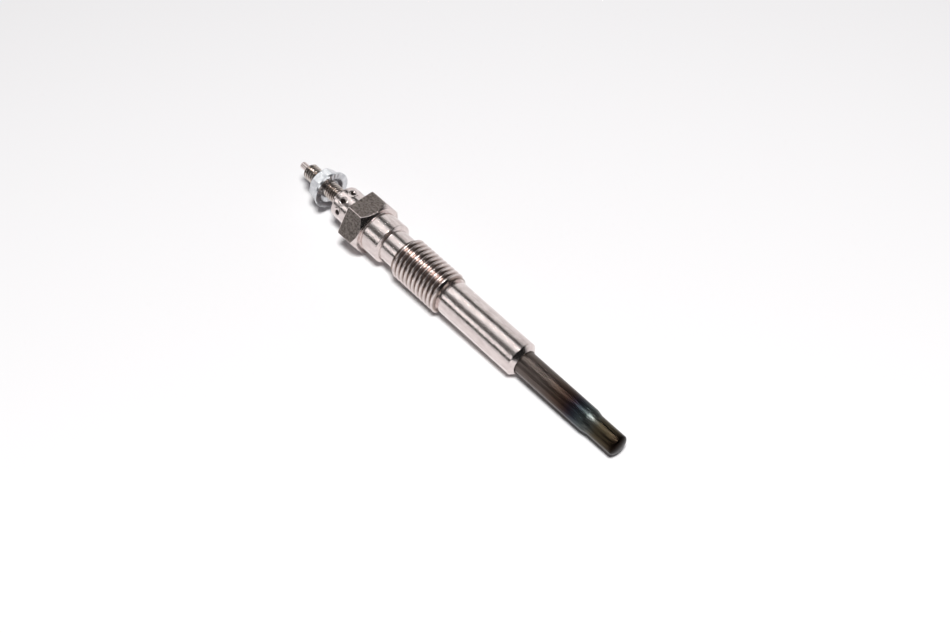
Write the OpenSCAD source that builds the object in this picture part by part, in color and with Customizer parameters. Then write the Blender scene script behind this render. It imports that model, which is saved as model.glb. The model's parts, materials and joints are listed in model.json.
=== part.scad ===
// Diesel glow plug with a metal sheath heater, lying on a hex flat as it comes to rest.
// Every piece is drawn about the plug's own axis, Z, in millimetres: zero is the rear face of
// the hex and positive runs to the heater tip. The module lay() then puts the plug on its side.

/* [Terminal stud] */
// Major diameter of the terminal thread
stud_d = 4; // [3.5:0.1:4.4]
// Thread that stands out behind the terminal nut
stud_proud = 4.2; // [2:0.1:8]
// Diameter of the pilot point
pilot_d = 1.7; // [1.2:0.1:2.4]
// Length of the pilot point
pilot_len = 2.7; // [1:0.1:5]

/* [Terminal nut] */
// Across flats of the nut
nut_af = 7; // [6.6:0.1:7.6]
// Height of the nut with its flange
nut_h = 3.8; // [2.6:0.1:5]
// Diameter of the flange
nut_flange_d = 9.2; // [9:0.1:11]
// Height of the sloped flange
nut_flange_h = 1.4; // [1:0.1:1.8]
// Thickness of the flange at its rim
nut_rim_t = 0.5; // [0.35:0.05:0.8]
// Width of the serrated ring on the bearing face
nut_rim_w = 1.45; // [0.8:0.05:1.6]
// Depth of the dished bearing face
nut_dish = 0.5; // [0.3:0.05:0.8]
// Number of serrations
serration_count = 24; // [12:1:30]
// Depth of a serration
serration_depth = 0.14; // [0.1:0.02:0.28]
// Bare thread between the nut and the round nut
nut_gap = 3.25; // [1:0.05:6]
// Turn of the nut about the axis
nut_turn = 10; // [0:1:59]

/* [Round nut] */
// Diameter of the round nut
round_nut_d = 8; // [7.4:0.1:9]
// Length of its body
round_nut_len = 5.5; // [4.6:0.1:7]
// Diameter of the lip at its rear
lip_d = 5.2; // [4.9:0.1:5.8]
// Length of the lip
lip_len = 1; // [0.6:0.1:2]
// Rounding of the rear edge of the body
round_nut_edge = 1.2; // [0.6:0.05:1.3]
// Number of stake marks
stake_count = 8; // [4:1:10]
// Radius of the punch that made the marks
stake_r = 0.9; // [0.5:0.05:1.1]
// Depth of a stake mark
stake_depth = 0.45; // [0.2:0.05:0.5]
// Distance of the marks from the rear face of the body
stake_inset = 2.4; // [2.2:0.05:2.8]
// Turn of the first mark about the axis
stake_turn = 30; // [0:1:45]

/* [Insulating bush] */
// Diameter of the bush inside the body
bush_d = 6.1; // [5.8:0.1:6.8]
// Length of the bush inside the body
bush_len = 6.2; // [4:0.1:8]
// Diameter of its flange
bush_flange_d = 7.6; // [7.2:0.1:8.6]
// Thickness of its flange
bush_flange_t = 0.8; // [0.5:0.1:1.5]

/* [Body] */
// Across flats of the hex
hex_af = 12; // [12:0.1:13]
// Length of the hex up to the end of its front fillet
hex_len = 5.2; // [4.5:0.1:8]
// Diameter of the rear hex face inside its chamfer
hex_face_d = 13.4; // [13:0.1:13.7]
// Radius of the fillet between the hex and the shoulder
hex_fillet = 1.4; // [1.3:0.1:1.8]
// Diameter of the shoulder in front of the hex
shoulder_d = 11.6; // [11:0.1:13]
// Length of the shoulder
shoulder_len = 0.3; // [0.3:0.1:3]
// Diameter of the collar
collar_d = 10; // [9:0.1:10.4]
// Length of the collar
collar_len = 5.45; // [3:0.05:7]
// Depth of the chamfer at the front of the collar
collar_chamfer = 0.8; // [0.3:0.05:0.9]
// Length of that chamfer
collar_chamfer_len = 0.45; // [0.3:0.05:0.9]
// Diameter of the neck behind the thread
neck_d = 7.9; // [7.4:0.1:8.2]
// Length of the neck
neck_len = 4.4; // [2:0.1:8]
// Major diameter of the body thread
thread_d = 10; // [9.6:0.1:10.4]
// Length of the body thread
thread_len = 14.5; // [10:0.5:20]
// Chamfer at both ends of the body thread
thread_lead = 0.6; // [0.3:0.05:0.8]
// Diameter of the relief groove in front of the thread
relief_d = 7.7; // [7.2:0.1:8]
// Length of the relief groove
relief_len = 0.5; // [0.3:0.1:1.5]
// Diameter of the barrel
barrel_d = 8.2; // [8.1:0.1:8.4]
// Length of the barrel
barrel_len = 21.7; // [15:0.1:30]
// Diameter of the small end of the seat cone
seat_small_d = 6.1; // [6:0.1:6.4]
// Length of the seat cone
seat_len = 1; // [0.5:0.1:2]
// Small broken edge on the turned steps
edge = 0.25; // [0.1:0.05:0.3]

/* [Heater] */
// Diameter of the heater tube
tube_d = 5.5; // [5.2:0.1:5.7]
// Heater tube that stands out of the body before its taper
tube_len = 19.1; // [14:0.1:24]
// Length of the swaged taper
taper_len = 1.6; // [1:0.1:4]
// Diameter of the heater tip
tip_d = 4.85; // [4.6:0.05:5.1]
// Length of the heater tip with its round end
tip_len = 7.35; // [5:0.05:12]
// Length of the round end
dome_len = 1; // [0.6:0.1:1.6]
// Wall of the heater tube
sheath_wall = 0.6; // [0.5:0.05:0.7]
// Thickness of the closed end
end_wall = 0.9; // [0.6:0.1:1.2]
// Heater tube that is pressed into the body
sheath_inset = 27; // [24:0.5:30]
// Depth of the widened mouth round the tube
mouth_depth = 0.6; // [0.3:0.1:1]
// Room between the tube and the widened mouth
mouth_room = 0.13; // [0.08:0.01:0.15]

/* [Inside] */
// Diameter of the electrode's shank
shank_d = 3.4; // [3:0.1:3.5]
// Length of the seal that closes the tube
seal_len = 4; // [2:0.5:6]
// Diameter of the pin that carries the coils
pin_d = 1.9; // [1.5:0.1:2]
// Length of the pin in front of the seal
pin_len = 6; // [4:0.5:8]
// Length of the pin inside the control coil
pin_hold = 2.4; // [1.5:0.1:3.5]
// Diameter of the resistance wire
wire_d = 0.36; // [0.3:0.02:0.4]
// Turns of the control coil
control_turns = 14; // [10:1:16]
// Pitch of the control coil
control_pitch = 1.2; // [1:0.1:1.3]
// Turns of the heating coil
heating_turns = 12; // [8:1:13]
// Pitch of the heating coil
heating_pitch = 0.9; // [0.7:0.05:1]
// Room between pieces that fit into each other
fit = 0.03; // [0.02:0.01:0.05]

/* [Hidden] */

// Fineness of round shapes, and steps in a rounded edge, in the dome and in a turn of a coil
round_fn = 96;
edge_steps = 5;
dome_steps = 12;
coil_steps = 12;
wire_sides = 6;
// Overshoot of a cut past the face that it opens
past = 0.5;

// Stations in front of the rear face of the hex
shoulder_z = hex_len;
collar_z = shoulder_z + shoulder_len;
neck_z = collar_z + collar_len;
thread_z = neck_z + neck_len;
relief_z = thread_z + thread_len;
barrel_z = relief_z + relief_len;
seat_z = barrel_z + barrel_len;
mouth_z = seat_z + seat_len;
taper_z = mouth_z + tube_len;
tip_z = taper_z + taper_len;
end_z = tip_z + tip_len;

// Stations behind it
round_nut_front = -bush_flange_t;
round_nut_rear = round_nut_front - round_nut_len;
lip_rear = round_nut_rear - lip_len;
nut_front = lip_rear - nut_gap;
nut_rear = nut_front - nut_h;
stud_rear = nut_rear - stud_proud;
pilot_rear = stud_rear - pilot_len;

// Stepped bore of the body
bush_bore_r = bush_d / 2 + fit;
ring_d = bush_bore_r - stud_d / 2 - 2 * fit;
bush_bore_len = bush_len + ring_d + 2 * fit;
tube_bore_r = tube_d / 2 + fit;

// Inside of the heater tube
sheath_rear = mouth_z - sheath_inset;
sheath_in_r = tube_d / 2 - sheath_wall;
tip_in_r = tip_d / 2 - sheath_wall;
sheath_in_end = end_z - end_wall;
seal_front = sheath_rear + seal_len;
pin_end = seal_front + pin_len;

// Both coils lie in one ring-shaped channel of the filling, and their straight steps clear the pin
coil_in_r = (pin_d / 2 + fit) / cos(180 / coil_steps);
coil_r = coil_in_r + wire_d / 2;
channel_out_r = coil_r + wire_d / 2 + fit;
control_start = pin_end - pin_hold;
control_end = control_start + control_turns * control_pitch;
heating_start = control_end + wire_d + fit;
heating_end = heating_start + heating_turns * heating_pitch;
channel_start = control_start - wire_d;
channel_end = heating_end + wire_d;

// Hex corners and chamfers
corner_ratio = 1 / cos(30);
chamfer_rise = tan(30);
hex_fillet_r = shoulder_d / 2 + hex_fillet;

// Resting place: the front edge of a hex flat, or of a shoulder that is wider than the hex, and
// the first turned edge further on that meets the surface
flat_end = hex_len - sqrt(max(0, pow(hex_fillet, 2) - pow(hex_fillet_r - hex_af / 2, 2)));
rest_r = max(hex_af, shoulder_d) / 2;
rest_edge = shoulder_d > hex_af ? collar_z - edge : flat_end;
contacts = [[collar_z - edge, shoulder_d / 2], [relief_z - thread_lead, thread_d / 2],
            [seat_z, barrel_d / 2], [taper_z, tube_d / 2]];
rest_tilt = min([for (c = contacts) if (c[0] > rest_edge) atan((rest_r - c[1]) / (c[0] - rest_edge))]);
rest_lift = rest_edge * sin(rest_tilt) + rest_r * cos(rest_tilt);
rest_mid = ((pilot_rear + end_z) * cos(rest_tilt) - (pilot_d / 2 - edge) * sin(rest_tilt)) / 2;

// Points on a round edge about a centre [radius, station], from angle a0 to a1
function arc(centre, r, a0, a1, steps = edge_steps) =
    [for (i = [0:steps]) let (a = a0 + (a1 - a0) * i / steps) centre + r * [cos(a), sin(a)]];

// Points on a half-oval end that reaches from radius r to the axis
function dome(r, len, end) =
    [for (i = [0:dome_steps]) let (a = 90 * i / dome_steps) [r * cos(a), end - len + len * sin(a)]];

// Puts the plug on its side, tip towards +X, over the middle of its own length
module lay() {
    translate([-rest_mid, 0, rest_lift]) rotate([0, 90 + rest_tilt, 0]) children();
}

// Turned shape from an outline of [radius, station] points
module turned(outline) {
    rotate_extrude($fn = round_fn) polygon(outline);
}

// Round hole on the axis from station z0 to z1
module hole(r, z0, z1) {
    translate([0, 0, z0]) cylinder(r = r, h = z1 - z0, $fn = round_fn);
}

// Hex bar from station z0 to z1, a flat towards local +X
module hex_bar(af, z0, z1) {
    translate([0, 0, z0]) rotate(30) cylinder(d = af * corner_ratio, h = z1 - z0, $fn = 6);
}

// Coil of round wire about the axis, swept as a ring of points at each step
module coil(start, turns, pitch) {
    last = turns * coil_steps;
    lean = atan(pitch / (2 * PI * coil_r));
    points = [for (i = [0:last], j = [0:wire_sides - 1])
        let (turn = 360 * i / coil_steps, a = 360 * j / wire_sides)
        let (out = coil_r + wire_d / 2 * cos(a), side = wire_d / 2 * sin(a))
        [out * cos(turn) + side * sin(lean) * sin(turn),
         out * sin(turn) - side * sin(lean) * cos(turn),
         start + pitch * i / coil_steps + side * cos(lean)]];
    walls = [for (i = [0:last - 1], j = [0:wire_sides - 1], half = [0:1])
        let (k = i * wire_sides, n = (j + 1) % wire_sides, m = k + wire_sides)
        half == 0 ? [k + j, m + j, m + n] : [k + j, m + n, k + n]];
    first_cap = [for (j = [0:wire_sides - 1]) j];
    last_cap = [for (j = [wire_sides - 1:-1:0]) last * wire_sides + j];
    polyhedron(points, concat(walls, [first_cap, last_cap]), convexity = 10);
}

module housing() {
    corner = max(hex_af / 2 * corner_ratio + edge, hex_fillet_r);
    chamfer = (corner - hex_face_d / 2) * chamfer_rise;
    color([0.80, 0.78, 0.75]) lay() difference() {
        union() {
            intersection() {
                hex_bar(hex_af, 0, hex_len);
                turned(concat(
                    [[0, 0], [hex_face_d / 2, 0], [corner, chamfer], [corner, hex_len - hex_fillet]],
                    arc([hex_fillet_r, hex_len], hex_fillet, 270, 180),
                    [[0, hex_len]]));
            }
            turned(concat(
                [[0, hex_len / 2], [shoulder_d / 2, hex_len / 2]],
                arc([shoulder_d / 2 - edge, collar_z - edge], edge, 0, 90),
                [[collar_d / 2, collar_z], [collar_d / 2, neck_z - collar_chamfer_len],
                 [collar_d / 2 - collar_chamfer, neck_z], [neck_d / 2, neck_z],
                 [neck_d / 2, thread_z], [thread_d / 2 - thread_lead, thread_z],
                 [thread_d / 2, thread_z + thread_lead], [thread_d / 2, relief_z - thread_lead],
                 [thread_d / 2 - thread_lead, relief_z], [relief_d / 2, relief_z],
                 [relief_d / 2, barrel_z], [barrel_d / 2 - edge, barrel_z],
                 [barrel_d / 2, barrel_z + edge], [barrel_d / 2, seat_z],
                 [seat_small_d / 2, mouth_z], [0, mouth_z]]));
        }
        hole(bush_bore_r, -past, bush_bore_len);
        hole(tube_bore_r, hex_len / 2, mouth_z + past);
        hole(tube_d / 2 + mouth_room, mouth_z - mouth_depth, mouth_z + past);
    }
}

module center_electrode() {
    color([0.72, 0.72, 0.72]) lay() turned([
        [0, pilot_rear], [pilot_d / 2 - edge, pilot_rear], [pilot_d / 2, pilot_rear + edge],
        [pilot_d / 2, stud_rear], [stud_d / 2 - edge, stud_rear], [stud_d / 2, stud_rear + edge],
        [stud_d / 2, bush_bore_len], [shank_d / 2, bush_bore_len + stud_d / 2 - shank_d / 2],
        [shank_d / 2, seal_front], [pin_d / 2, seal_front], [pin_d / 2, pin_end], [0, pin_end]]);
}

module terminal_nut() {
    flange_rear = nut_front - nut_flange_h;
    rim_in_r = nut_flange_d / 2 - nut_rim_w;
    bore_r = stud_d / 2 + fit;
    flat = serration_depth / 4;
    wide = flat + 2 * serration_depth;
    groove = [[-flat, -serration_depth], [flat, -serration_depth],
              [wide, serration_depth], [-wide, serration_depth]];
    corner = nut_af / 2 * corner_ratio + edge;
    chamfer = (corner - nut_af / 2 + edge) * chamfer_rise;
    color([0.62, 0.66, 0.72]) lay() rotate(nut_turn) difference() {
        union() {
            intersection() {
                hex_bar(nut_af, nut_rear, nut_front - nut_rim_t);
                turned([[0, nut_rear], [nut_af / 2 - edge, nut_rear], [corner, nut_rear + chamfer],
                        [corner, nut_front - nut_rim_t], [0, nut_front - nut_rim_t]]);
            }
            turned(concat(
                [[0, flange_rear], [nut_af / 2 - edge, flange_rear],
                 [nut_flange_d / 2 - edge, nut_front - nut_rim_t - edge]],
                arc([nut_flange_d / 2 - edge, nut_front - nut_rim_t], edge, -90, 0),
                [[nut_flange_d / 2, nut_front], [0, nut_front]]));
        }
        turned([[0, nut_front - nut_dish], [bore_r + edge, nut_front - nut_dish], [rim_in_r, nut_front],
                [rim_in_r, nut_front + past], [0, nut_front + past]]);
        hole(bore_r, nut_rear - past, nut_front);
        for (i = [0:serration_count - 1])
            rotate(360 * (i + 0.5) / serration_count) translate([bore_r + edge, 0, nut_front])
                rotate([90, 0, 90]) linear_extrude(nut_flange_d) polygon(groove);
    }
}

module round_nut() {
    body_r = round_nut_d / 2;
    color([0.80, 0.78, 0.75]) lay() difference() {
        turned(concat(
            [[0, lip_rear], [lip_d / 2 - edge, lip_rear], [lip_d / 2, lip_rear + edge],
             [lip_d / 2, round_nut_rear]],
            arc([body_r - round_nut_edge, round_nut_rear + round_nut_edge], round_nut_edge, -90, 0),
            [[body_r, round_nut_front - edge], [body_r - edge, round_nut_front], [0, round_nut_front]]));
        hole(stud_d / 2 + fit, lip_rear - past, round_nut_front + past);
        for (i = [0:stake_count - 1])
            rotate(stake_turn + 360 * i / stake_count)
                translate([body_r + stake_r - stake_depth, 0, round_nut_rear + stake_inset])
                    sphere(r = stake_r, $fn = round_fn);
    }
}

module insulating_bush() {
    color([0.20, 0.13, 0.10]) lay() difference() {
        turned([[0, round_nut_front], [bush_flange_d / 2, round_nut_front], [bush_flange_d / 2, 0],
                [bush_d / 2, 0], [bush_d / 2, bush_len], [0, bush_len]]);
        hole(stud_d / 2 + fit, round_nut_front - past, bush_len + past);
    }
}

module o_ring() {
    color([0.08, 0.08, 0.08]) lay() translate([0, 0, bush_len + fit + ring_d / 2])
        rotate_extrude($fn = round_fn) translate([stud_d / 2 + fit + ring_d / 2, 0])
            circle(d = ring_d, $fn = round_fn);
}

module heater_sheath() {
    color([0.34, 0.31, 0.30]) lay() difference() {
        turned(concat([[0, sheath_rear], [tube_d / 2, sheath_rear], [tube_d / 2, taper_z]],
                      [[tip_d / 2, tip_z]], dome(tip_d / 2, dome_len, end_z)));
        turned(concat([[0, sheath_rear - past], [sheath_in_r, sheath_rear - past]],
                      [[sheath_in_r, taper_z], [tip_in_r, tip_z]],
                      dome(tip_in_r, dome_len, sheath_in_end)));
    }
}

module sheath_seal() {
    color([0.25, 0.10, 0.08]) lay() difference() {
        hole(sheath_in_r - fit, sheath_rear, seal_front);
        hole(shank_d / 2 + fit, sheath_rear - past, seal_front + past);
    }
}

module control_coil() {
    color([0.55, 0.45, 0.35]) lay() coil(control_start, control_turns, control_pitch);
}

module heating_coil() {
    color([0.60, 0.40, 0.30]) lay() coil(heating_start, heating_turns, heating_pitch);
}

module magnesia_filling() {
    out_r = sheath_in_r - fit;
    tip_r = tip_in_r - fit;
    core_r = pin_d / 2;
    color([0.92, 0.90, 0.86]) lay() difference() {
        turned(concat([[0, seal_front + fit], [out_r, seal_front + fit], [out_r, taper_z]],
                      [[tip_r, tip_z]], dome(tip_r, dome_len, sheath_in_end - fit)));
        hole(pin_d / 2 + fit, seal_front - past, channel_start + wire_d);
        turned([[0, channel_start], [channel_out_r, channel_start], [channel_out_r, channel_end],
                [core_r, channel_end], [core_r, pin_end + fit], [0, pin_end + fit]]);
    }
}

housing();
center_electrode();
terminal_nut();
round_nut();
insulating_bush();
o_ring();
heater_sheath();
sheath_seal();
control_coil();
heating_coil();
magnesia_filling();
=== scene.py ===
"""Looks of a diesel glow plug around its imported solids.

The pieces that show are modelled again with their threads, serrations, stake marks and broken
edges, and are laid where the frame's body thread lies. Sizes are in millimetres about the plug's
own axis, Z: zero is the rear face of the hex, and positive runs to the heater tip.
"""
import json
import logging
import math
from collections.abc import Sequence
from dataclasses import dataclass
from enum import Enum

import bmesh
import bpy
from mathutils import Matrix, Vector


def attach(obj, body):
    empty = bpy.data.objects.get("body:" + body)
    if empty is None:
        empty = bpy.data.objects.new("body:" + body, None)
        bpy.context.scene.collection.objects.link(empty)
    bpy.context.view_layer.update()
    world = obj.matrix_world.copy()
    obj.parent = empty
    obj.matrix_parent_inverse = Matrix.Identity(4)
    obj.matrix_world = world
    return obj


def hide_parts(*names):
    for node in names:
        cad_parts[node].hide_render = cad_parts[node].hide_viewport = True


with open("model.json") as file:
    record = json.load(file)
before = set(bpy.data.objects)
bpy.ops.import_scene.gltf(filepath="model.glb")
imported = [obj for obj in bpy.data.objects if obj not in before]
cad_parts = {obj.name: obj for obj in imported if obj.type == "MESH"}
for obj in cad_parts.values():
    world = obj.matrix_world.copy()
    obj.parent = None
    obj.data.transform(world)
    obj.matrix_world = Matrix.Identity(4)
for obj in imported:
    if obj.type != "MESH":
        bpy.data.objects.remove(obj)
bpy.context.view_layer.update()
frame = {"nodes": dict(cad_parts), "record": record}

LOG = logging.getLogger("glow_plug")
MM = 0.001
BODY = "root"
# Points of a turned surface round the axis, and points in a rounded corner
TURN_STEPS = 128
CORNER_STEPS = 6
# Points closer than this are one point, and points this near a flat lie in it
MERGE_MM = 1e-4
FLAT_MM = 0.01
# The most of a stretch that one rounded corner may take up
CORNER_SHARE = 0.48
# Half the angle past which a corner counts as straight, and the rise below which a face is upright
STRAIGHT_HALF = math.radians(89)
UPRIGHT = 1e-3
# Slope of the chamfer on a hex's corners
HEX_CHAMFER = math.tan(math.radians(30))
# The mount that places the plug, and the station at its middle
PLACING_MOUNT = "main_thread"
PLACING_STATION = 22.6

Colour = tuple[float, float, float, float]


def linear(colour: str) -> Colour:
    """Turns an sRGB hex colour into linear values.

    Args:
        colour: Six hex digits after a hash sign.

    Returns:
        Linear red, green and blue, with full alpha.
    """
    shares = [int(colour[i:i + 2], 16) / 255 for i in (1, 3, 5)]
    red, green, blue = (s / 12.92 if s <= 0.04045 else ((s + 0.055) / 1.055) ** 2.4 for s in shares)
    return (red, green, blue, 1.0)


def plug_axis() -> tuple[Vector, Vector]:
    """Finds the plug's axis in the row frame.

    Returns:
        Its point at station zero in metres, and its direction towards the heater tip.
    """
    mount = next(m for m in frame["record"]["mounts"] if m["name"] == PLACING_MOUNT)
    along = Vector(mount["axis"]).normalized()
    return Vector(mount["pos_m"]) - along * PLACING_STATION * MM, along


def plug_place() -> Matrix:
    """Returns the matrix that takes millimetres about the plug's axis to metres in the row frame."""
    origin, along = plug_axis()
    across = Vector((0, 1, 0))
    turn = Matrix((across.cross(along), across, along)).transposed().to_4x4()
    return Matrix.Translation(origin) @ turn @ Matrix.Scale(MM, 4)


@dataclass(frozen=True)
class Corner:
    """Corner of a turned outline, with the radius that it is rounded to."""

    r: float
    z: float
    rounding: float = 0.0

    @property
    def point(self) -> Vector:
        """Radius and station as a vector."""
        return Vector((self.r, self.z))


def rounded(corners: Sequence[Corner]) -> list[Vector]:
    """Draws an outline through corners, with an arc in place of each rounded one.

    Args:
        corners: The outline's corners in order.

    Returns:
        Points of radius and station.
    """
    points = [corners[0].point]
    corners = [a for a, b in zip(corners, [*corners[1:], None]) if b is None or a.point != b.point]
    for before, corner, after in zip(corners, corners[1:], corners[2:]):
        back, ahead = before.point - corner.point, after.point - corner.point
        half = back.angle(ahead) / 2
        if corner.rounding == 0 or half > STRAIGHT_HALF:
            points.append(corner.point)
            continue
        reach = min(corner.rounding / math.tan(half), CORNER_SHARE * back.length,
                    CORNER_SHARE * ahead.length)
        inwards = (back.normalized() + ahead.normalized()).normalized()
        middle = corner.point + inwards * reach / math.cos(half)
        first = corner.point + back.normalized() * reach - middle
        last = corner.point + ahead.normalized() * reach - middle
        points += [middle + first.slerp(last, i / CORNER_STEPS) * first.length
                   for i in range(CORNER_STEPS + 1)]
    return points + [corners[-1].point]


def finely(points: Sequence[Vector], step: float) -> list[Vector]:
    """Splits an outline's long stretches.

    Args:
        points: Points of radius and station.
        step: Longest stretch to leave.

    Returns:
        The outline with points added along its stretches.
    """
    fine = [points[0]]
    for start, end in zip(points, points[1:]):
        parts = max(1, math.ceil((end - start).length / step))
        fine += [start.lerp(end, i / parts) for i in range(1, parts + 1)]
    return fine


def spun(points: Sequence[Vector], steps: int = TURN_STEPS, ring: bool = False) -> bmesh.types.BMesh:
    """Turns an outline about the axis.

    Args:
        points: Points of radius and station.
        steps: Points round the axis.
        ring: Whether the outline's last point joins its first.

    Returns:
        A new mesh with its doubles merged and its faces outwards.
    """
    bm = bmesh.new()
    verts = [bm.verts.new((p.x, 0, p.y)) for p in points]
    pairs = list(zip(verts, verts[1:])) + ([(verts[-1], verts[0])] if ring else [])
    edges = [bm.edges.new(pair) for pair in pairs]
    bmesh.ops.spin(bm, geom=verts + edges, cent=(0, 0, 0), axis=(0, 0, 1), dvec=(0, 0, 0),
                   angle=math.tau, steps=steps, use_merge=True)
    bmesh.ops.remove_doubles(bm, verts=bm.verts, dist=MERGE_MM)
    bmesh.ops.recalc_face_normals(bm, faces=bm.faces)
    return bm


def cut_flats(bm: bmesh.types.BMesh, across_flats: float, rim: float,
              drop: float) -> list[bmesh.types.BMFace]:
    """Cuts six flats and breaks the edges round each.

    Args:
        bm: Turned mesh that is wider than the hex where it is to be cut.
        across_flats: Distance between opposite flats.
        rim: Width of the broken edge round a flat.
        drop: How far the broken edge falls towards the axis.

    Returns:
        The flat faces inside their broken edges.
    """
    flat_r = across_flats / 2
    for i in range(6):
        out = Vector((math.cos(i * math.pi / 3), math.sin(i * math.pi / 3), 0))
        cut = bmesh.ops.bisect_plane(
            bm, geom=bm.verts[:] + bm.edges[:] + bm.faces[:], dist=FLAT_MM, plane_co=out * flat_r,
            plane_no=out, use_snap_center=True, clear_outer=True)
        loop = [g for g in cut["geom_cut"] if isinstance(g, bmesh.types.BMEdge) and g.is_boundary]
        bmesh.ops.edgeloop_fill(bm, edges=loop)
    bmesh.ops.recalc_face_normals(bm, faces=bm.faces)
    flats = [face for face in bm.faces if abs(face.normal.z) < UPRIGHT
             and all(abs(v.co.xy.dot(face.normal.xy) - flat_r) < FLAT_MM for v in face.verts)]
    bmesh.ops.dissolve_degenerate(bm, dist=MERGE_MM * 10, edges=bm.edges)
    flats = [face for face in flats if face.is_valid]
    edging = bmesh.ops.inset_individual(bm, faces=flats, thickness=rim, use_even_offset=True)["faces"]
    inner = {vert for face in flats for vert in face.verts}
    for vert in {vert for face in edging for vert in face.verts} - inner:
        vert.co.xy *= 1 - drop / vert.co.xy.length
    return flats


def appended(bm: bmesh.types.BMesh, other: bmesh.types.BMesh) -> None:
    """Moves another mesh's faces into bm."""
    carrier = bpy.data.meshes.new("carrier")
    other.to_mesh(carrier)
    other.free()
    bm.from_mesh(carrier)
    bpy.data.meshes.remove(carrier)


def close_ring(bm: bmesh.types.BMesh, station: float) -> None:
    """Bridges the two open loops that face each other at a station."""
    loops = [e for e in bm.edges if e.is_boundary
             and all(abs(v.co.z - station) < MERGE_MM * 10 for v in e.verts)]
    bmesh.ops.bridge_loops(bm, edges=loops)


class Operation(Enum):
    """How one solid is worked with another."""

    JOIN = "UNION"
    CUT = "DIFFERENCE"


def worked(bm: bmesh.types.BMesh, tool: bmesh.types.BMesh, operation: Operation) -> bmesh.types.BMesh:
    """Joins or cuts one closed mesh with another.

    Args:
        bm: Mesh that is worked.
        tool: Mesh that it is worked with.
        operation: Whether the tool is joined on or cut away.

    Returns:
        A new mesh. Both inputs are freed.
    """
    objects = []
    for name, part in (("worked", bm), ("tool", tool)):
        mesh = bpy.data.meshes.new(name)
        part.to_mesh(mesh)
        part.free()
        objects.append(bpy.data.objects.new(name, mesh))
        bpy.context.scene.collection.objects.link(objects[-1])
    modifier = objects[0].modifiers.new("work", "BOOLEAN")
    modifier.operation = operation.value
    modifier.solver = "EXACT"
    modifier.object = objects[1]
    result = bmesh.new()
    result.from_object(objects[0], bpy.context.evaluated_depsgraph_get())
    for obj in objects:
        mesh = obj.data
        bpy.data.objects.remove(obj)
        bpy.data.meshes.remove(mesh)
    bmesh.ops.remove_doubles(result, verts=result.verts, dist=MERGE_MM)
    return result


@dataclass(frozen=True)
class Thread:
    """Rolled metric thread between two stations, with a lead chamfer at each end."""

    major_r: float
    pitch: float
    start: float
    end: float
    lead_start: float
    lead_end: float
    turn_steps: int = 72
    depth_share: float = 0.5413
    crest_share: float = 0.16
    root_share: float = 0.1
    crest_soft: float = 0.3
    root_soft: float = 0.06
    # How far below its start the first turn begins, which sets how the turns lie
    run_in: float = 1.3

    @property
    def root_r(self) -> float:
        """Radius at the bottom of the thread."""
        return self.major_r - self.depth_share * self.pitch

    def outline(self, station: float) -> list[Vector]:
        """Returns one turn's outline from a station on, with rounded crest and root."""
        crest, root = self.crest_share * self.pitch / 2, self.root_share * self.pitch / 2
        crown, hollow = self.crest_soft * self.pitch, self.root_soft * self.pitch
        middle = station + self.pitch / 2
        return rounded([
            Corner(self.root_r, station), Corner(self.root_r, station + root, hollow),
            Corner(self.major_r, middle - crest, crown), Corner(self.major_r, middle + crest, crown),
            Corner(self.root_r, station + self.pitch - root, hollow),
            Corner(self.root_r, station + self.pitch)])

    def surface(self) -> bmesh.types.BMesh:
        """Sweeps the outline up the helix and trims it to the thread's stations.

        Returns:
            A new open mesh that ends in one loop at each station.
        """
        below = self.start - self.run_in * self.pitch
        bm = bmesh.new()
        verts = [bm.verts.new((p.x, 0, p.y)) for p in self.outline(below)]
        edges = [bm.edges.new(pair) for pair in zip(verts, verts[1:])]
        bmesh.ops.spin(bm, geom=verts + edges, cent=(0, 0, 0), axis=(0, 0, 1),
                       dvec=(0, 0, self.pitch / self.turn_steps), angle=math.tau, steps=self.turn_steps,
                       use_merge=False)
        turn = bm.verts[:] + bm.edges[:] + bm.faces[:]
        for i in range(1, math.ceil((self.end - below) / self.pitch) + 1):
            copy = bmesh.ops.duplicate(bm, geom=turn)["geom"]
            bmesh.ops.translate(bm, vec=(0, 0, self.pitch * i),
                                verts=[v for v in copy if isinstance(v, bmesh.types.BMVert)])
        bmesh.ops.remove_doubles(bm, verts=bm.verts, dist=MERGE_MM)
        for vert in bm.verts:
            limit = min(self.major_r - self.lead_start + max(0.0, vert.co.z - self.start),
                        self.major_r - self.lead_end + max(0.0, self.end - vert.co.z), self.major_r)
            vert.co.xy *= min(1.0, limit / vert.co.xy.length)
        for station, sides in ((self.start, {"clear_inner": True}), (self.end, {"clear_outer": True})):
            bmesh.ops.bisect_plane(bm, geom=bm.verts[:] + bm.edges[:] + bm.faces[:], dist=MERGE_MM,
                                   plane_co=(0, 0, station), plane_no=(0, 0, 1), **sides)
        return bm


def connect(tree: bpy.types.NodeTree, node: bpy.types.Node, inputs: dict[str, object]) -> None:
    """Fills a node's sockets.

    Args:
        tree: Node tree that the node is in.
        node: The node.
        inputs: Socket names, with underscores for spaces, or numbers after "input_". Each has a value,
            another node's output, or another node, whose first output is taken.
    """
    for name, value in inputs.items():
        number = name.removeprefix("input_")
        socket = node.inputs[int(number)] if number.isdigit() else node.inputs[name.replace("_", " ")]
        source = value.outputs[0] if isinstance(value, bpy.types.Node) else value
        if isinstance(source, bpy.types.NodeSocket):
            tree.links.new(source, socket)
        else:
            socket.default_value = source


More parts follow.
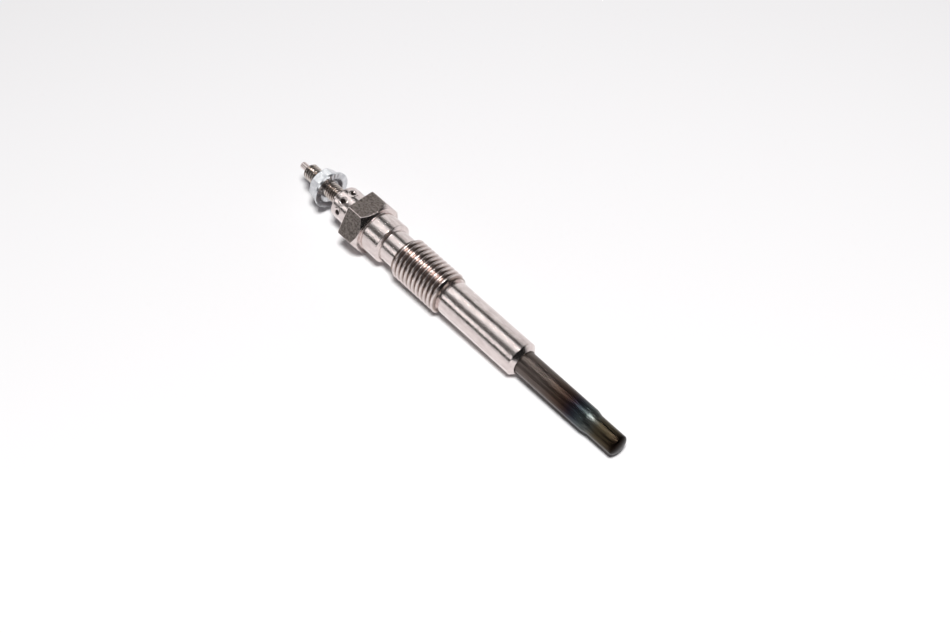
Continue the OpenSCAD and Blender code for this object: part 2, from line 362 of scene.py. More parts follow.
def add_node(tree: bpy.types.NodeTree, kind: str, settings: dict[str, object] | None = None,
             stops: Sequence[tuple[float, Colour]] = (), **inputs: object) -> bpy.types.Node:
    """Adds a node with its settings, values and links.

    Args:
        tree: Node tree that the node goes into.
        kind: Node type.
        settings: Properties of the node.
        stops: Positions and colours of a colour ramp.
        inputs: What its sockets take, as connect has it.

    Returns:
        The new node.
    """
    node = tree.nodes.new(kind)
    for name, value in (settings or {}).items():
        setattr(node, name, value)
    for i, (position, colour) in enumerate(stops):
        elements = node.color_ramp.elements
        element = elements[i] if i < len(elements) else elements.new(position)
        element.position = position
        element.color = colour
    connect(tree, node, inputs)
    return node


@dataclass(frozen=True)
class Finish:
    """Surface finish that becomes one material, shared by the pieces that have it."""

    name: str
    colour: str
    shade: str
    metallic: float
    roughness: float

    def material(self) -> bpy.types.Material:
        """Returns the finish as a material, and makes it the first time."""
        known = bpy.data.materials.get(self.name)
        if known:
            return known
        material = bpy.data.materials.new(self.name)
        material.use_nodes = True
        tree = material.node_tree
        shader = tree.nodes["Principled BSDF"]
        shader.inputs["Base Color"].default_value = linear(self.colour)
        shader.inputs["Metallic"].default_value = self.metallic
        shader.inputs["Roughness"].default_value = self.roughness
        connect(tree, shader, self.pattern(tree))
        return material

    def pattern(self, tree: bpy.types.NodeTree) -> dict[str, object]:
        """Adds what varies over the surface, and returns it for the shader's sockets."""
        raise NotImplementedError

    def grain(self, tree: bpy.types.NodeTree, size_mm: tuple[float, float, float],
              detail: float = 2.0) -> bpy.types.Node:
        """Adds a noise grain.

        Args:
            tree: Material's node tree.
            size_mm: Size of a grain along X, Y and Z.
            detail: Finer noise on top, in octaves.

        Returns:
            The noise node, mostly between 0.3 and 0.7.
        """
        place = add_node(tree, "ShaderNodeTexCoord").outputs["Object"]
        sized = add_node(tree, "ShaderNodeMapping", Vector=place, Scale=[1 / (s * MM) for s in size_mm])
        return add_node(tree, "ShaderNodeTexNoise", Vector=sized, Scale=1.0, Detail=detail)

    def clouded(self, tree: bpy.types.NodeTree, grain: bpy.types.Node) -> bpy.types.Node:
        """Adds the ramp from the finish's shade to its colour over a grain, and returns it."""
        return add_node(tree, "ShaderNodeValToRGB", Fac=grain,
                        stops=((0.32, linear(self.shade)), (0.68, linear(self.colour))))


@dataclass(frozen=True)
class TurnedNickel(Finish):
    """Bright nickel over turned steel: warm, near mirror, blurred a little by fine turning marks."""

    # Turning marks and grit are drawn coarser than they are, or they wouldn't show
    ring_mm: float = 0.16
    ring_depth_mm: float = 0.004
    ring_reach_mm: float = 6.0
    grit_mm: float = 0.28
    grit_depth_mm: float = 0.03
    cloud_mm: tuple[float, float, float] = (2.0, 0.9, 0.9)

    def pattern(self, tree: bpy.types.NodeTree) -> dict[str, object]:
        """Adds turning marks round the axis, grit that frays the bands, and faint clouds."""
        rings = self.grain(tree, (self.ring_mm, self.ring_reach_mm, self.ring_reach_mm))
        grit = self.grain(tree, (self.grit_mm,) * 3)
        clouds = self.grain(tree, self.cloud_mm, 3.0)
        turned = add_node(tree, "ShaderNodeBump", Strength=1.0, Distance=self.ring_depth_mm * MM,
                          Height=rings)
        gritty = add_node(tree, "ShaderNodeBump", Strength=1.0, Distance=self.grit_depth_mm * MM,
                          Height=grit, Normal=turned)
        gloss = add_node(tree, "ShaderNodeMapRange", Value=rings, From_Min=0.3, From_Max=0.7,
                         To_Min=self.roughness * 0.7, To_Max=self.roughness * 1.4)
        return {"Base_Color": self.clouded(tree, clouds), "Roughness": gloss, "Normal": gritty}


@dataclass(frozen=True)
class RolledThread(TurnedNickel):
    """Plated thread: bright on its crests, with painted shade darkening it towards the bottom of the
    groove.
    """

    root_r: float = 4.32
    crest_r: float = 5.0
    # Painted shade: colour that the plate is multiplied by towards the bottom of the groove
    groove: str = "#ACA39D"

    def pattern(self, tree: bpy.types.NodeTree) -> dict[str, object]:
        """Adds painted shade towards the bottom of the groove to the plate's own marks."""
        marks = super().pattern(tree)
        origin, along = plug_axis()
        place = add_node(tree, "ShaderNodeTexCoord").outputs["Object"]
        off = add_node(tree, "ShaderNodeVectorMath", {"operation": "SUBTRACT"}, input_0=place,
                       input_1=origin)
        crossed = add_node(tree, "ShaderNodeVectorMath", {"operation": "CROSS_PRODUCT"}, input_0=off,
                           input_1=along)
        r = add_node(tree, "ShaderNodeVectorMath", {"operation": "LENGTH"}, input_0=crossed)
        share = add_node(tree, "ShaderNodeMapRange", Value=r.outputs["Value"],
                         From_Min=self.root_r * MM, From_Max=self.crest_r * MM)
        # Painted shade: the colour darkens from the crest down into the groove
        groove_shade = add_node(tree, "ShaderNodeValToRGB", Fac=share,
                         stops=((0.3, linear(self.groove)), (0.8, (1.0, 1.0, 1.0, 1.0))))
        groove_shaded = add_node(tree, "ShaderNodeMix", {"data_type": "RGBA", "blend_type": "MULTIPLY"},
                          Factor=1.0, input_6=marks["Base_Color"], input_7=groove_shade)
        return {**marks, "Base_Color": groove_shaded.outputs[2]}


@dataclass(frozen=True)
class DrawnFlats(Finish):
    """Dull plate over cold-drawn flats: dark, mottled and grainy, with a soft sheen."""

    # The bar's grain is drawn coarser than it is, or it wouldn't show
    grain_mm: float = 0.4
    grain_depth_mm: float = 0.014

    def pattern(self, tree: bpy.types.NodeTree) -> dict[str, object]:
        """Adds a fine mottle to colour, gloss and relief."""
        mottle = self.grain(tree, (self.grain_mm * 1.4, self.grain_mm, self.grain_mm), 3.0)
        gloss = add_node(tree, "ShaderNodeMapRange", Value=mottle, From_Min=0.3, From_Max=0.7,
                         To_Min=self.roughness * 1.2, To_Max=self.roughness * 0.8)
        relief = add_node(tree, "ShaderNodeBump", Strength=1.0, Distance=self.grain_depth_mm * MM,
                          Height=mottle)
        return {"Base_Color": self.clouded(tree, mottle), "Roughness": gloss, "Normal": relief}


@dataclass(frozen=True)
class ZincPlate(Finish):
    """Passivated zinc: cool grey with a satin bloom."""

    bloom_mm: float = 1.2
    # Crystals of the plate, drawn coarser than they are
    grit_mm: float = 0.2
    grit_depth_mm: float = 0.006

    def pattern(self, tree: bpy.types.NodeTree) -> dict[str, object]:
        """Adds a soft bloom and a fine grit."""
        bloom = self.grain(tree, (self.bloom_mm,) * 3, 3.0)
        grit = self.grain(tree, (self.grit_mm,) * 3, 1.0)
        relief = add_node(tree, "ShaderNodeBump", Strength=1.0, Distance=self.grit_depth_mm * MM,
                          Height=grit)
        return {"Base_Color": self.clouded(tree, bloom), "Normal": relief}


@dataclass(frozen=True)
class TintedAlloy(Finish):
    """Swaged nickel alloy: dark grey-brown with drawing streaks, and heat colours towards the tip."""

    start_mm: float = 53.05
    end_mm: float = 81.1
    # Drawing streaks, coarser than they are, and how much of their shade shows
    streak_mm: tuple[float, float, float] = (9.0, 0.3, 0.3)
    streak_depth_mm: float = 0.012
    streak_share: float = 0.8
    # How far the streaks pull the heat colours along the tube
    waver_mm: float = 1.6
    tints: tuple[tuple[float, str], ...] = (
        (53.0, "#746A65"), (60.0, "#6A605B"), (64.0, "#57483F"), (66.5, "#44342E"), (68.2, "#332B34"),
        (69.8, "#394048"), (71.5, "#4E5758"), (73.5, "#5A5E5B"), (75.5, "#585040"), (79.2, "#4A4032"),
        (80.3, "#1C1410"))

    def pattern(self, tree: bpy.types.NodeTree) -> dict[str, object]:
        """Adds the tint along the tube, wavered by streaks, and the streaks' own shade and gloss."""
        origin, along = plug_axis()
        span = self.end_mm - self.start_mm
        first = origin.dot(along) + self.start_mm * MM
        place = add_node(tree, "ShaderNodeTexCoord").outputs["Object"]
        run = add_node(tree, "ShaderNodeVectorMath", {"operation": "DOT_PRODUCT"}, input_0=place,
                       input_1=along)
        share = add_node(tree, "ShaderNodeMapRange", Value=run.outputs["Value"], From_Min=first,
                         From_Max=first + span * MM)
        streaks = self.grain(tree, self.streak_mm, 3.0)
        waver = add_node(tree, "ShaderNodeMath", {"operation": "SUBTRACT"}, input_0=streaks,
                         input_1=0.5)
        spot = add_node(tree, "ShaderNodeMath", {"operation": "MULTIPLY_ADD"}, input_0=waver,
                        input_1=2 * self.waver_mm / span, input_2=share)
        heat = add_node(tree, "ShaderNodeValToRGB", Fac=spot,
                        stops=[((z - self.start_mm) / span, linear(tint)) for z, tint in self.tints])
        streaked = add_node(tree, "ShaderNodeMix", {"data_type": "RGBA", "blend_type": "MULTIPLY"},
                            Factor=self.streak_share, input_6=heat,
                            input_7=self.clouded(tree, streaks).outputs["Color"])
        gloss = add_node(tree, "ShaderNodeMapRange", Value=streaks, From_Min=0.3, From_Max=0.7,
                         To_Min=self.roughness * 0.75, To_Max=self.roughness * 1.4)
        relief = add_node(tree, "ShaderNodeBump", Strength=1.0, Distance=self.streak_depth_mm * MM,
                          Height=streaks)
        return {"Base_Color": streaked.outputs[2], "Roughness": gloss, "Normal": relief}


@dataclass(frozen=True)
class PlainMatter(Finish):
    """Moulded, pressed or drawn stuff inside the plug: its colour clouded by a fine grain."""

    grain_mm: float = 0.4
    grain_depth_mm: float = 0.01

    def pattern(self, tree: bpy.types.NodeTree) -> dict[str, object]:
        """Adds the grain to colour and relief."""
        grain = self.grain(tree, (self.grain_mm,) * 3)
        relief = add_node(tree, "ShaderNodeBump", Strength=1.0, Distance=self.grain_depth_mm * MM,
                          Height=grain)
        return {"Base_Color": self.clouded(tree, grain), "Normal": relief}


# Bright nickel: the body, the round nut and the pilot point mirror the studio in warm bands
NICKEL = TurnedNickel("bright_nickel_on_turned_steel", "#E0D5D2", "#CFC3C0", 1.0, 0.14)
# The same plate on the body thread, with painted shade in the groove
THREAD = RolledThread("bright_nickel_on_body_thread", "#E0D5D2", "#CFC3C0", 1.0, 0.16)
# The hex flats keep the drawn bar's grain under the plate, so they look dark and dull
FLATS = DrawnFlats("dull_nickel_on_drawn_flats", "#847B75", "#4A4340", 0.55, 0.42)
# The stud's rolled thread under thinner plate, greyer than the body, with painted shade in its groove
STUD = RolledThread("bright_nickel_on_rolled_stud", "#DAD3CE", "#B5ACA6", 1.0, 0.16, ring_mm=0.3,
                    root_r=1.62, crest_r=2.0)
# Blue passivation gives the flange nut its cool grey
ZINC = ZincPlate("blue_passivated_zinc", "#DCDDDF", "#BCBEC2", 1.0, 0.2)
# Heat has drawn brown, violet, blue and straw over the heater tube
HEATER = TintedAlloy("heat_tinted_nickel_alloy", "#FFFFFF", "#8C8480", 1.0, 0.31)
# Painted shade deep in the punched marks, where shade falls
PAINTED_MARK_SHADE = PlainMatter("painted_shade_in_punch_marks", "#2B221E", "#191310", 0.5, 0.5)
# Dark brown phenolic, only seen edge on between the nut and the hex
PHENOLIC = PlainMatter("moulded_phenolic", "#2A1D16", "#1A120E", 0.0, 0.5)
# Black, matt seals
RUBBER = PlainMatter("moulded_nitrile_rubber", "#1B1B1C", "#101011", 0.0, 0.6, grain_mm=0.3)
# Drawn wire with a dull grey-brown oxide
WIRE = PlainMatter("drawn_resistance_wire", "#8A7F76", "#6E645C", 1.0, 0.35, grain_mm=0.2)
# Chalky white powder
MAGNESIA = PlainMatter("pressed_magnesia_powder", "#EDE8DE", "#DAD3C6", 0.0, 0.8, grain_mm=0.25)

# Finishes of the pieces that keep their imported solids
INNER_FINISHES: dict[str, Finish] = {
    "insulating_bush": PHENOLIC, "o_ring": RUBBER, "sheath_seal": RUBBER, "control_coil": WIRE,
    "heating_coil": WIRE, "magnesia_filling": MAGNESIA}


@dataclass
class Piece:
    """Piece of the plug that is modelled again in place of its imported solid."""

    node: str
    slot: str
    finishes: tuple[Finish, ...]
    # Edges that turn more degrees than this stay crisp
    crisp: float = 20.0

    def shape(self) -> bmesh.types.BMesh:
        """Models the piece about the plug's axis, in millimetres."""
        raise NotImplementedError

    def build(self, place: Matrix) -> bpy.types.Object:
        """Models, lays and dresses the piece.

        Args:
            place: Matrix that lays the plug.

        Returns:
            The finished object.
        """
        bm = self.shape()
        bmesh.ops.remove_doubles(bm, verts=bm.verts, dist=MERGE_MM)
        bmesh.ops.recalc_face_normals(bm, faces=bm.faces)
        for face in bm.faces:
            face.smooth = True
        for edge in bm.edges:
            one_finish = len({face.material_index for face in edge.link_faces}) == 1
            edge.smooth = one_finish and edge.calc_face_angle(0.0) < math.radians(self.crisp)
        bmesh.ops.transform(bm, matrix=place, verts=bm.verts)
        mesh = bpy.data.meshes.new(f"{self.node}_form")
        bm.to_mesh(mesh)
        bm.free()
        for finish in self.finishes:
            mesh.materials.append(finish.material())
        piece = bpy.data.objects.new(f"{self.node}_form", mesh)
        bpy.context.scene.collection.objects.link(piece)
        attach(piece, BODY)
        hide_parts(self.node)
        LOG.info("%s: %d faces", piece.name, len(mesh.polygons))
        return piece


@dataclass
class Housing(Piece):
    """Turned body: hex, collar, neck, body thread, barrel, seat cone and stepped bore."""

    hex_af: float = 12.0
    hex_face_r: float = 6.7
    hex_blank_r: float = 7.2
    hex_front_r: float = 5.95
    # Run of the front chamfer along the axis for each millimetre towards it
    hex_front_run: float = 1.22
    collar_z: float = 5.5
    collar_r: float = 5.0
    collar_slope: tuple[float, float] = (0.8, 0.45)
    neck_z: float = 10.95
    neck_r: float = 3.95
    thread_z: float = 15.35
    relief_z: float = 29.85
    relief_r: float = 3.85
    barrel_z: float = 30.35
    barrel_r: float = 4.1
    seat_z: float = 52.05
    mouth_z: float = 53.05
    seat_small_r: float = 3.05
    mouth_r: float = 2.88
    mouth_depth: float = 0.6
    tube_bore_r: float = 2.78
    bush_bore_r: float = 3.08
    bush_bore_len: float = 7.28
    # Body thread, M10x1.25, with its end chamfers
    thread_r: float = 5.0
    pitch: float = 1.25
    thread_lead: float = 0.6
    # Broken edge round a flat: its width and fall
    rim_w: float = 0.12
    rim_drop: float = 0.026
    edge: float = 0.25
    # Small radii where turned faces meet
    soft: float = 0.08
    edge_r: float = 0.12
    root_r: float = 0.1
    mouth_edge_r: float = 0.03
    hex_rear_edge_r: float = 0.02
    hex_front_edge_r: float = 0.04

    def hex_part(self) -> list[Corner]:
        """Returns the outline of the hex blank, from its rear chamfer to its front face."""
        rear_run = (self.hex_blank_r - self.hex_face_r) * HEX_CHAMFER
        front_run = (self.hex_blank_r - self.hex_front_r) * self.hex_front_run
        return [
            Corner(self.hex_face_r, 0.0, self.hex_rear_edge_r), Corner(self.hex_blank_r, rear_run),
            Corner(self.hex_blank_r, self.collar_z - front_run),
            Corner(self.hex_front_r, self.collar_z, self.hex_front_edge_r)]

    def outline(self) -> list[Vector]:
        """Returns the outline from the front of the thread round the body to its rear."""
        slope_r, slope_z = self.collar_slope
        return rounded([
            Corner(self.relief_r, self.relief_z), Corner(self.relief_r, self.barrel_z, self.soft),
            Corner(self.barrel_r - self.edge, self.barrel_z, self.soft),
            Corner(self.barrel_r, self.barrel_z + self.edge, self.soft),
            Corner(self.barrel_r, self.seat_z, self.edge_r),
            Corner(self.seat_small_r, self.mouth_z, self.soft),
            Corner(self.mouth_r, self.mouth_z, self.mouth_edge_r),
            Corner(self.mouth_r, self.mouth_z - self.mouth_depth),
            Corner(self.tube_bore_r, self.mouth_z - self.mouth_depth),
            Corner(self.tube_bore_r, self.bush_bore_len), Corner(self.bush_bore_r, self.bush_bore_len),
            Corner(self.bush_bore_r, 0.0), *self.hex_part(),
            Corner(self.collar_r, self.collar_z, self.root_r),
            Corner(self.collar_r, self.neck_z - slope_z, self.edge_r),
            Corner(self.collar_r - slope_r, self.neck_z, self.soft),
            Corner(self.neck_r, self.neck_z, self.soft), Corner(self.neck_r, self.thread_z)])

    def shape(self) -> bmesh.types.BMesh:
        """Turns the body, cuts the hex, and rolls the thread between neck and relief groove."""
        bm = spun(self.outline())
        for flat in cut_flats(bm, self.hex_af, self.rim_w, self.rim_drop):
            flat.material_index = 1
        turns = Thread(self.thread_r, self.pitch, self.thread_z, self.relief_z, self.thread_lead,
                       self.thread_lead).surface()
        for face in turns.faces:
            face.material_index = 2
        appended(bm, turns)
        close_ring(bm, self.thread_z)
        close_ring(bm, self.relief_z)
        return bm


@dataclass
class Electrode(Piece):
    """Centre electrode: pilot point, rolled terminal thread, shank and the pin in the coils."""

    pilot_rear: float = -21.25
    pilot_r: float = 0.85
    stud_rear: float = -18.55
    stud_r: float = 2.0
    pitch: float = 0.7
    thread_end: float = -6.0
    shank_z: float = 7.28
    shank_r: float = 1.7
    pin_z: float = 30.05
    pin_r: float = 0.95
    pin_end: float = 36.05
    edge: float = 0.25
    edge_r: float = 0.1
    # Where the thread runs out: how deep, and from where to where the plain stud begins
    run_out: float = 0.5
    run_out_from: float = 0.2
    run_out_to: float = 0.7
    turn_steps: int = 64
    thread_steps: int = 48

    def shape(self) -> bmesh.types.BMesh:
        """Turns the plain parts and rolls the thread between them."""
        core_r = self.stud_r - self.run_out
        bm = spun(rounded([
            Corner(0.0, self.pilot_rear), Corner(self.pilot_r - self.edge, self.pilot_rear, self.edge_r),
            Corner(self.pilot_r, self.pilot_rear + self.edge, self.edge_r),
            Corner(self.pilot_r, self.stud_rear)]), self.turn_steps)
        appended(bm, spun(rounded([
            Corner(core_r, self.thread_end), Corner(core_r, self.thread_end + self.run_out_from),
            Corner(self.stud_r, self.thread_end + self.run_out_to), Corner(self.stud_r, self.shank_z),
            Corner(self.shank_r, self.shank_z + self.stud_r - self.shank_r),
            Corner(self.shank_r, self.pin_z), Corner(self.pin_r, self.pin_z),
            Corner(self.pin_r, self.pin_end), Corner(0.0, self.pin_end)]), self.turn_steps))
        turns = Thread(self.stud_r, self.pitch, self.stud_rear, self.thread_end, self.edge, 0.0,
                       turn_steps=self.thread_steps).surface()
        for face in turns.faces:
            face.material_index = 1
        appended(bm, turns)
        close_ring(bm, self.stud_rear)
        close_ring(bm, self.thread_end)
        return bm


@dataclass
class TerminalNut(Piece):
    """Hex flange nut with a serrated ring on its bearing face and a countersink inside it."""

    front: float = -10.55
    height: float = 3.8
    across_flats: float = 7.0
    turn: float = 10.0
    flange_r: float = 4.6
    flange_h: float = 1.4
    rim_t: float = 0.5
    rim_w: float = 1.45
    dish: float = 0.5
    bore_r: float = 2.03
    serrations: int = 24
    serration_depth: float = 0.04
    # Points round the axis for each serration, and how deep those in its groove lie
    serration_steps: int = 6
    groove: tuple[float, ...] = (0.0, 0.0, 0.5, 1.0, 0.5, 0.0)
    edge: float = 0.25
    # How far the flange's back and the hex reach behind the rim
    back: float = 0.12
    lap: float = 0.2
    back_r: float = 0.22
    rim_r: float = 0.06
    ring_edge_r: float = 0.03
    dish_r: float = 0.1
    face_r: float = 0.05
    # Broken edge round a flat: its width and fall
    flat_rim: float = 0.08
    flat_drop: float = 0.04
    bore_steps: int = 64
    # How far the boring tool passes each face
    overrun: float = 1.0

    def flange(self) -> bmesh.types.BMesh:
        """Turns the flange and presses the serrations into its ring."""
        flange_rear = self.front - self.flange_h
        ring_r = self.flange_r - self.rim_w
        columns = self.serrations * self.serration_steps
        bm = spun(rounded([
            Corner(0.0, flange_rear), Corner(self.across_flats / 2 - self.edge, flange_rear),
            Corner(self.flange_r, self.front - self.rim_t - self.back, self.back_r),
            Corner(self.flange_r, self.front, self.rim_r), Corner(ring_r, self.front, self.ring_edge_r),
            Corner(self.bore_r + self.edge, self.front - self.dish, self.dish_r),
            Corner(0.0, self.front - self.dish)]), columns)
        for vert in bm.verts:
            if vert.co.z > self.front - FLAT_MM * 2:
                turns = math.atan2(vert.co.y, vert.co.x) % math.tau / math.tau
                step = round(turns * columns) % self.serration_steps
                vert.co.z -= self.serration_depth * self.groove[step]
        return bm

    def shape(self) -> bmesh.types.BMesh:
        """Joins the hex and the flange, bores them, and turns the nut as it was tightened."""
        rear = self.front - self.height
        wide_r = self.across_flats / 2 / math.cos(math.radians(30)) + self.edge
        chamfer = (wide_r - self.across_flats / 2 + self.edge) * HEX_CHAMFER
        hex_front = self.front - self.rim_t - self.lap
        hexagon = spun(rounded([
            Corner(0.0, rear), Corner(self.across_flats / 2 - self.edge, rear, self.face_r),
            Corner(wide_r, rear + chamfer), Corner(wide_r, hex_front), Corner(0.0, hex_front)]))
        cut_flats(hexagon, self.across_flats, self.flat_rim, self.flat_drop)
        nut = worked(hexagon, self.flange(), Operation.JOIN)
        ends = (rear - self.overrun, self.front + self.overrun)
        bore = spun([Vector(p) for p in ((0, ends[0]), (self.bore_r, ends[0]), (self.bore_r, ends[1]),
                                         (0, ends[1]))], self.bore_steps)
        nut = worked(nut, bore, Operation.CUT)
        bmesh.ops.rotate(nut, matrix=Matrix.Rotation(math.radians(self.turn), 3, "Z"), verts=nut.verts)
        return nut


@dataclass
class RoundNut(Piece):
    """Round nut with a lip at its rear and a ring of stake marks."""

    crisp: float = 50.0
    front: float = -0.8
    body_r: float = 4.0
    length: float = 5.5
    lip_r: float = 2.6
    lip_len: float = 1.0
    rounding: float = 1.2
    bore_r: float = 2.03
    stakes: int = 8
    stake_r: float = 0.8
    stake_depth: float = 0.6
    stake_inset: float = 2.4
    # Marks deeper than this get painted shade
    painted_shade_depth: float = 0.2
    stake_turn: float = 30.0
    edge: float = 0.25
    # Metal that a mark pushes up round itself
    ridge: float = 0.06
    ridge_w: float = 0.4
    # How the mark's walls round off towards its bottom
    mark_power: float = 1.4
    mark_steps: int = 30
    grid: float = 0.08
    lip_edge_r: float = 0.15
    lip_root_r: float = 0.05
    # What the marks leave alone beside the lip and the front face
    keep_r: float = 0.2
    keep_z: float = 0.1

    def shape(self) -> bmesh.types.BMesh:
        """Turns the nut on a fine grid, punches the marks into it, and paints shade deep in them."""
        rear = self.front - self.length
        lip_rear = rear - self.lip_len
        bm = spun(finely(rounded([
            Corner(self.bore_r, lip_rear), Corner(self.lip_r, lip_rear, self.lip_edge_r),
            Corner(self.lip_r, rear, self.lip_root_r), Corner(self.body_r, rear, self.rounding),
            Corner(self.body_r, self.front, self.edge), Corner(self.bore_r, self.front)]), self.grid),
            self.stakes * self.mark_steps, ring=True)
        for vert in bm.verts:
            if vert.co.xy.length > self.lip_r + self.keep_r and vert.co.z < self.front - self.keep_z:
                sunk = self.mark_depth(vert.co, rear + self.stake_inset)
                vert.co.xy *= 1 - sunk / vert.co.xy.length
                # Faces deep in a mark take the painted shade
                if sunk > self.painted_shade_depth:
                    for face in vert.link_faces:
                        face.material_index = 1
        return bm

    def mark_depth(self, point: Vector, station: float) -> float:
        """Depth of the stake marks at a point of the nut's wall.

        Args:
            point: Place on the wall.
            station: Station of the marks.

        Returns:
            How far the wall is pushed in there, or out where negative.
        """
        pitch = math.tau / self.stakes
        turn = math.atan2(point.y, point.x) - math.radians(self.stake_turn)
        off = (turn + pitch / 2) % pitch - pitch / 2
        away = math.hypot(off * self.body_r, point.z - station)
        if away < self.stake_r:
            return self.stake_depth * math.cos(math.pi / 2 * away / self.stake_r) ** self.mark_power
        fade = min(1.0, (away - self.stake_r) / self.ridge_w)
        return -self.ridge * math.sin(math.pi * fade) ** 2


@dataclass
class HeaterSheath(Piece):
    """Closed heater tube that is swaged down to a thinner tip."""

    rear: float = 26.05
    tube_r: float = 2.75
    taper_z: float = 72.15
    tip_z: float = 73.75
    tip_r: float = 2.425
    end: float = 81.1
    dome: float = 1.0
    wall: float = 0.6
    end_wall: float = 0.9
    taper_r: float = 3.0

    def half_oval(self, r: float, end: float, steps: int = 16) -> list[Corner]:
        """Returns the corners of a round end from its side to the axis."""
        turns = [math.radians(90 * i / steps) for i in range(steps + 1)]
        return [Corner(r * math.cos(a), end - self.dome + self.dome * math.sin(a)) for a in turns]

    def shape(self) -> bmesh.types.BMesh:
        """Turns the tube's outside and inside in one outline."""
        inside = self.half_oval(self.tip_r - self.wall, self.end - self.end_wall)[::-1]
        return spun(rounded([
            *inside, Corner(self.tip_r - self.wall, self.tip_z),
            Corner(self.tube_r - self.wall, self.taper_z), Corner(self.tube_r - self.wall, self.rear),
            Corner(self.tube_r, self.rear), Corner(self.tube_r, self.taper_z, self.taper_r),
            Corner(self.tip_r, self.tip_z, self.taper_r),
            *self.half_oval(self.tip_r, self.end)]))


@dataclass(frozen=True)
class LightZone:
    """Bands of light round the plug's length, over a range of directions along it.

    The zone begins to show where a direction's share along the plug passes start, and is all that
    shows past full. Each band has an angle, from the near horizon over the top, and its light.
    """

    start: float
    full: float
    bands: tuple[tuple[float, float], ...]


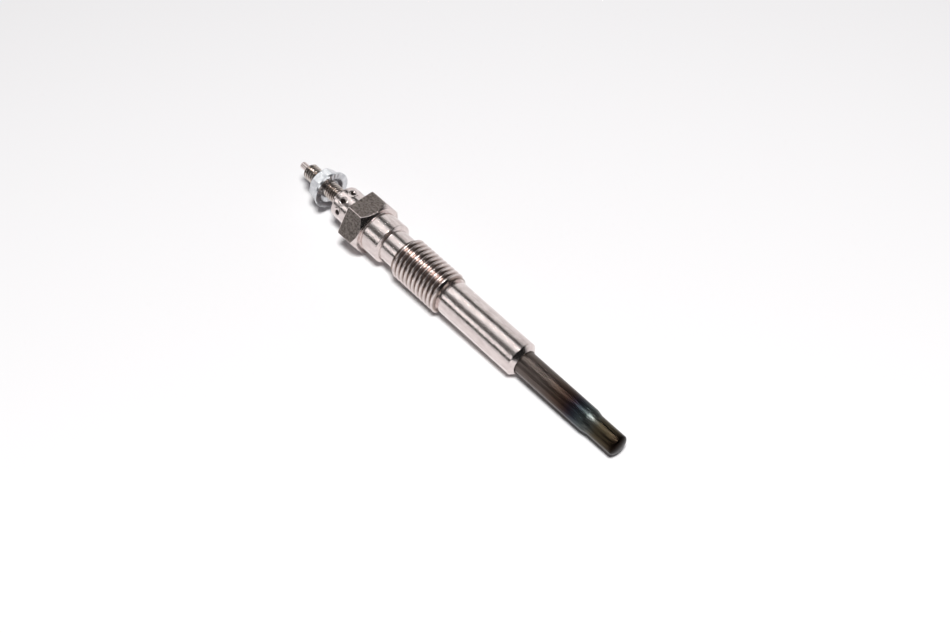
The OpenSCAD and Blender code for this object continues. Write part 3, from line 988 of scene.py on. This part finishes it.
@dataclass(frozen=True)
class Studio:
    """White table, soft lamp, surrounding bands of light, and the camera."""

    eye_mm: tuple[float, float, float] = (150.85, -128.90, 244.65)
    target_mm: tuple[float, float, float] = (11.23, -3.02, 10.86)
    roll: float = -0.2865
    lens_mm: float = 54.85
    sensor_mm: float = 36.0
    clip_mm: float = 10.0
    table_mm: float = 700.0
    table_colour: str = "#F3F2F2"
    table_lift: float = 0.03
    lamp_place_mm: tuple[float, float, float] = (210.0, -150.0, 768.0)
    lamp_size_mm: float = 190.0
    lamp_power: float = 7.3
    # Where the metal mirrors a small bright lamp, how far round that it glows, and how brightly
    glint_toward: tuple[float, float, float] = (0.085, 0.08, 0.993)
    glint_angle: float = 7.0
    glint: float = 55.0
    # Soft light from all round, a little violet
    fill: Colour = (0.042, 0.036, 0.046, 1.0)
    zones: tuple[LightZone, ...] = (
        LightZone(-1.0, -1.0, (
            (-180, 1.0), (2, 1.0), (6, 0.05), (20, 0.05), (24, 1.5), (39, 1.5), (45, 0.09), (58, 0.12),
            (70, 0.45), (80, 1.35), (107, 1.35), (113, 0.06), (127, 0.06), (138, 0.9), (180, 1.0))),
        LightZone(-0.86, -0.96, ((-180, 0.85), (-8, 0.85), (-4, 0.04), (170, 0.04), (180, 0.04))),
        LightZone(-0.36, -0.2, (
            (-180, 0.9), (-8, 0.9), (0, 0.1), (72, 0.15), (80, 1.1), (108, 1.1), (114, 0.08),
            (164, 0.08), (174, 0.9), (180, 0.9))),
        LightZone(-0.12, 0.0, (
            (-180, 0.9), (-8, 0.9), (0, 0.3), (72, 0.4), (80, 1.1), (108, 1.1), (114, 0.2), (164, 0.2),
            (174, 0.9), (180, 0.9))),
        LightZone(0.3, 0.5, ((-180, 0.9), (-8, 0.9), (-4, 0.02), (156, 0.02), (172, 0.9), (180, 0.9))),
        LightZone(0.76, 0.84, ((-180, 0.03), (-150, 0.9), (-8, 0.9), (-4, 0.02), (180, 0.02))))

    def camera(self) -> None:
        """Sets the camera to the photograph's view."""
        data = bpy.data.cameras.new("camera")
        data.lens = self.lens_mm
        data.sensor_width = self.sensor_mm
        data.sensor_fit = "HORIZONTAL"
        data.clip_start = self.clip_mm * MM
        camera = bpy.data.objects.new("camera", data)
        eye, target = Vector(self.eye_mm) * MM, Vector(self.target_mm) * MM
        look = (target - eye).to_track_quat("-Z", "Y").to_matrix()
        camera.location = eye
        camera.rotation_euler = (look @ Matrix.Rotation(math.radians(self.roll), 3, "Z")).to_euler()
        bpy.context.scene.collection.objects.link(camera)
        bpy.context.scene.camera = camera

    def lamp(self) -> None:
        """Hangs the soft lamp high above the plug."""
        data = bpy.data.lights.new("softbox", "AREA")
        data.size = self.lamp_size_mm * MM
        data.energy = self.lamp_power
        lamp = bpy.data.objects.new("softbox", data)
        lamp.location = Vector(self.lamp_place_mm) * MM
        lamp.rotation_euler = (-lamp.location).to_track_quat("-Z", "Y").to_euler()
        lamp.visible_glossy = False
        bpy.context.scene.collection.objects.link(lamp)

    def table(self) -> None:
        """Lays the white table under the plug."""
        bm = bmesh.new()
        bmesh.ops.create_grid(bm, x_segments=1, y_segments=1, size=self.table_mm / 2 * MM)
        mesh = bpy.data.meshes.new("table")
        bm.to_mesh(mesh)
        bm.free()
        material = bpy.data.materials.new("matt_white_card")
        material.use_nodes = True
        tree = material.node_tree
        tree.nodes.clear()
        paths = add_node(tree, "ShaderNodeLightPath")
        seen = add_node(tree, "ShaderNodeMath", {"operation": "MAXIMUM"},
                        input_0=paths.outputs["Is Camera Ray"], input_1=paths.outputs["Is Glossy Ray"])
        lift = add_node(tree, "ShaderNodeMath", {"operation": "MULTIPLY"}, input_0=seen,
                        input_1=self.table_lift)
        card = add_node(tree, "ShaderNodeBsdfDiffuse", Color=linear(self.table_colour))
        glow = add_node(tree, "ShaderNodeEmission", Strength=lift)
        both = add_node(tree, "ShaderNodeAddShader", input_0=card, input_1=glow)
        add_node(tree, "ShaderNodeOutputMaterial", Surface=both)
        mesh.materials.append(material)
        table = bpy.data.objects.new("table", mesh)
        bpy.context.scene.collection.objects.link(table)

    def room(self, tree: bpy.types.NodeTree) -> bpy.types.NodeSocket:
        """Adds the bands of light that the metal mirrors.

        Args:
            tree: World's node tree.

        Returns:
            The light seen in each direction.
        """
        look = add_node(tree, "ShaderNodeTexCoord").outputs["Generated"]
        parts = add_node(tree, "ShaderNodeSeparateXYZ", Vector=look)
        near = add_node(tree, "ShaderNodeMath", {"operation": "MULTIPLY"}, input_0=parts.outputs["Y"],
                        input_1=-1.0)
        turn = add_node(tree, "ShaderNodeMath", {"operation": "ARCTAN2"}, input_0=parts.outputs["Z"],
                        input_1=near)
        share = add_node(tree, "ShaderNodeMapRange", Value=turn, From_Min=-math.pi, From_Max=math.pi)
        seen = None
        for zone in self.zones:
            lit = add_node(tree, "ShaderNodeValToRGB", Fac=share,
                           stops=[((a + 180) / 360, (light,) * 3 + (1.0,)) for a, light in zone.bands])
            if seen is None:
                seen = lit.outputs["Color"]
                continue
            inside = add_node(tree, "ShaderNodeMapRange", {"interpolation_type": "SMOOTHSTEP"},
                              Value=parts.outputs["X"], From_Min=zone.start, From_Max=zone.full)
            seen = add_node(tree, "ShaderNodeMix", {"data_type": "RGBA"}, Factor=inside, input_6=seen,
                            input_7=lit).outputs[2]
        close = add_node(tree, "ShaderNodeVectorMath", {"operation": "DOT_PRODUCT"}, input_0=look,
                         input_1=Vector(self.glint_toward).normalized())
        edge = math.cos(math.radians(self.glint_angle))
        in_glint = add_node(tree, "ShaderNodeMapRange", {"interpolation_type": "SMOOTHSTEP"},
                            Value=close.outputs["Value"], From_Min=edge, From_Max=(1 + edge) / 2)
        return add_node(tree, "ShaderNodeMix", {"data_type": "RGBA"}, Factor=in_glint,
                        input_6=seen, input_7=(self.glint,) * 3 + (1.0,)).outputs[2]

    def surround(self) -> None:
        """Sets the room that the metal mirrors, the soft fill, and the white behind the table."""
        world = bpy.data.worlds.new("studio")
        world.use_nodes = True
        # Only rays that leave a surface meet the room, so that its bands light nothing but metal
        world.cycles.sampling_method = "NONE"
        bpy.context.scene.world = world
        tree = world.node_tree
        tree.nodes.clear()
        paths = add_node(tree, "ShaderNodeLightPath")
        filled = add_node(tree, "ShaderNodeMix", {"data_type": "RGBA"},
                          Factor=paths.outputs["Is Diffuse Ray"], input_6=self.room(tree),
                          input_7=self.fill)
        shown = add_node(tree, "ShaderNodeMix", {"data_type": "RGBA"},
                         Factor=paths.outputs["Is Camera Ray"], input_6=filled.outputs[2],
                         input_7=(1.0, 1.0, 1.0, 1.0))
        light = add_node(tree, "ShaderNodeBackground", Color=shown.outputs[2])
        add_node(tree, "ShaderNodeOutputWorld", Surface=light)

    def build(self) -> None:
        """Sets up table, lamp, surround and camera."""
        bpy.context.scene.view_settings.view_transform = "Standard"
        self.table()
        self.lamp()
        self.surround()
        self.camera()


def main() -> None:
    """Builds the plug's pieces in order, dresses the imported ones, and sets up the studio."""
    logging.basicConfig(level=logging.INFO, format="%(name)s %(message)s")
    place = plug_place()
    pieces: tuple[Piece, ...] = (
        Housing("housing", "nickel_plate", (NICKEL, FLATS, THREAD)),
        Electrode("center_electrode", "stud_steel", (NICKEL, STUD)),
        TerminalNut("terminal_nut", "zinc_plate", (ZINC,)),
        RoundNut("round_nut", "nickel_plate", (NICKEL, PAINTED_MARK_SHADE)),
        HeaterSheath("heater_sheath", "heater_alloy", (HEATER,)))
    for piece in pieces:
        piece.build(place)
    for node, finish in INNER_FINISHES.items():
        solid = frame["nodes"][node]
        solid.data.materials.clear()
        solid.data.materials.append(finish.material())
        LOG.info("%s: packed solid in %s", node, finish.name)
    Studio().build()


if __name__ == "__main__":
    main()
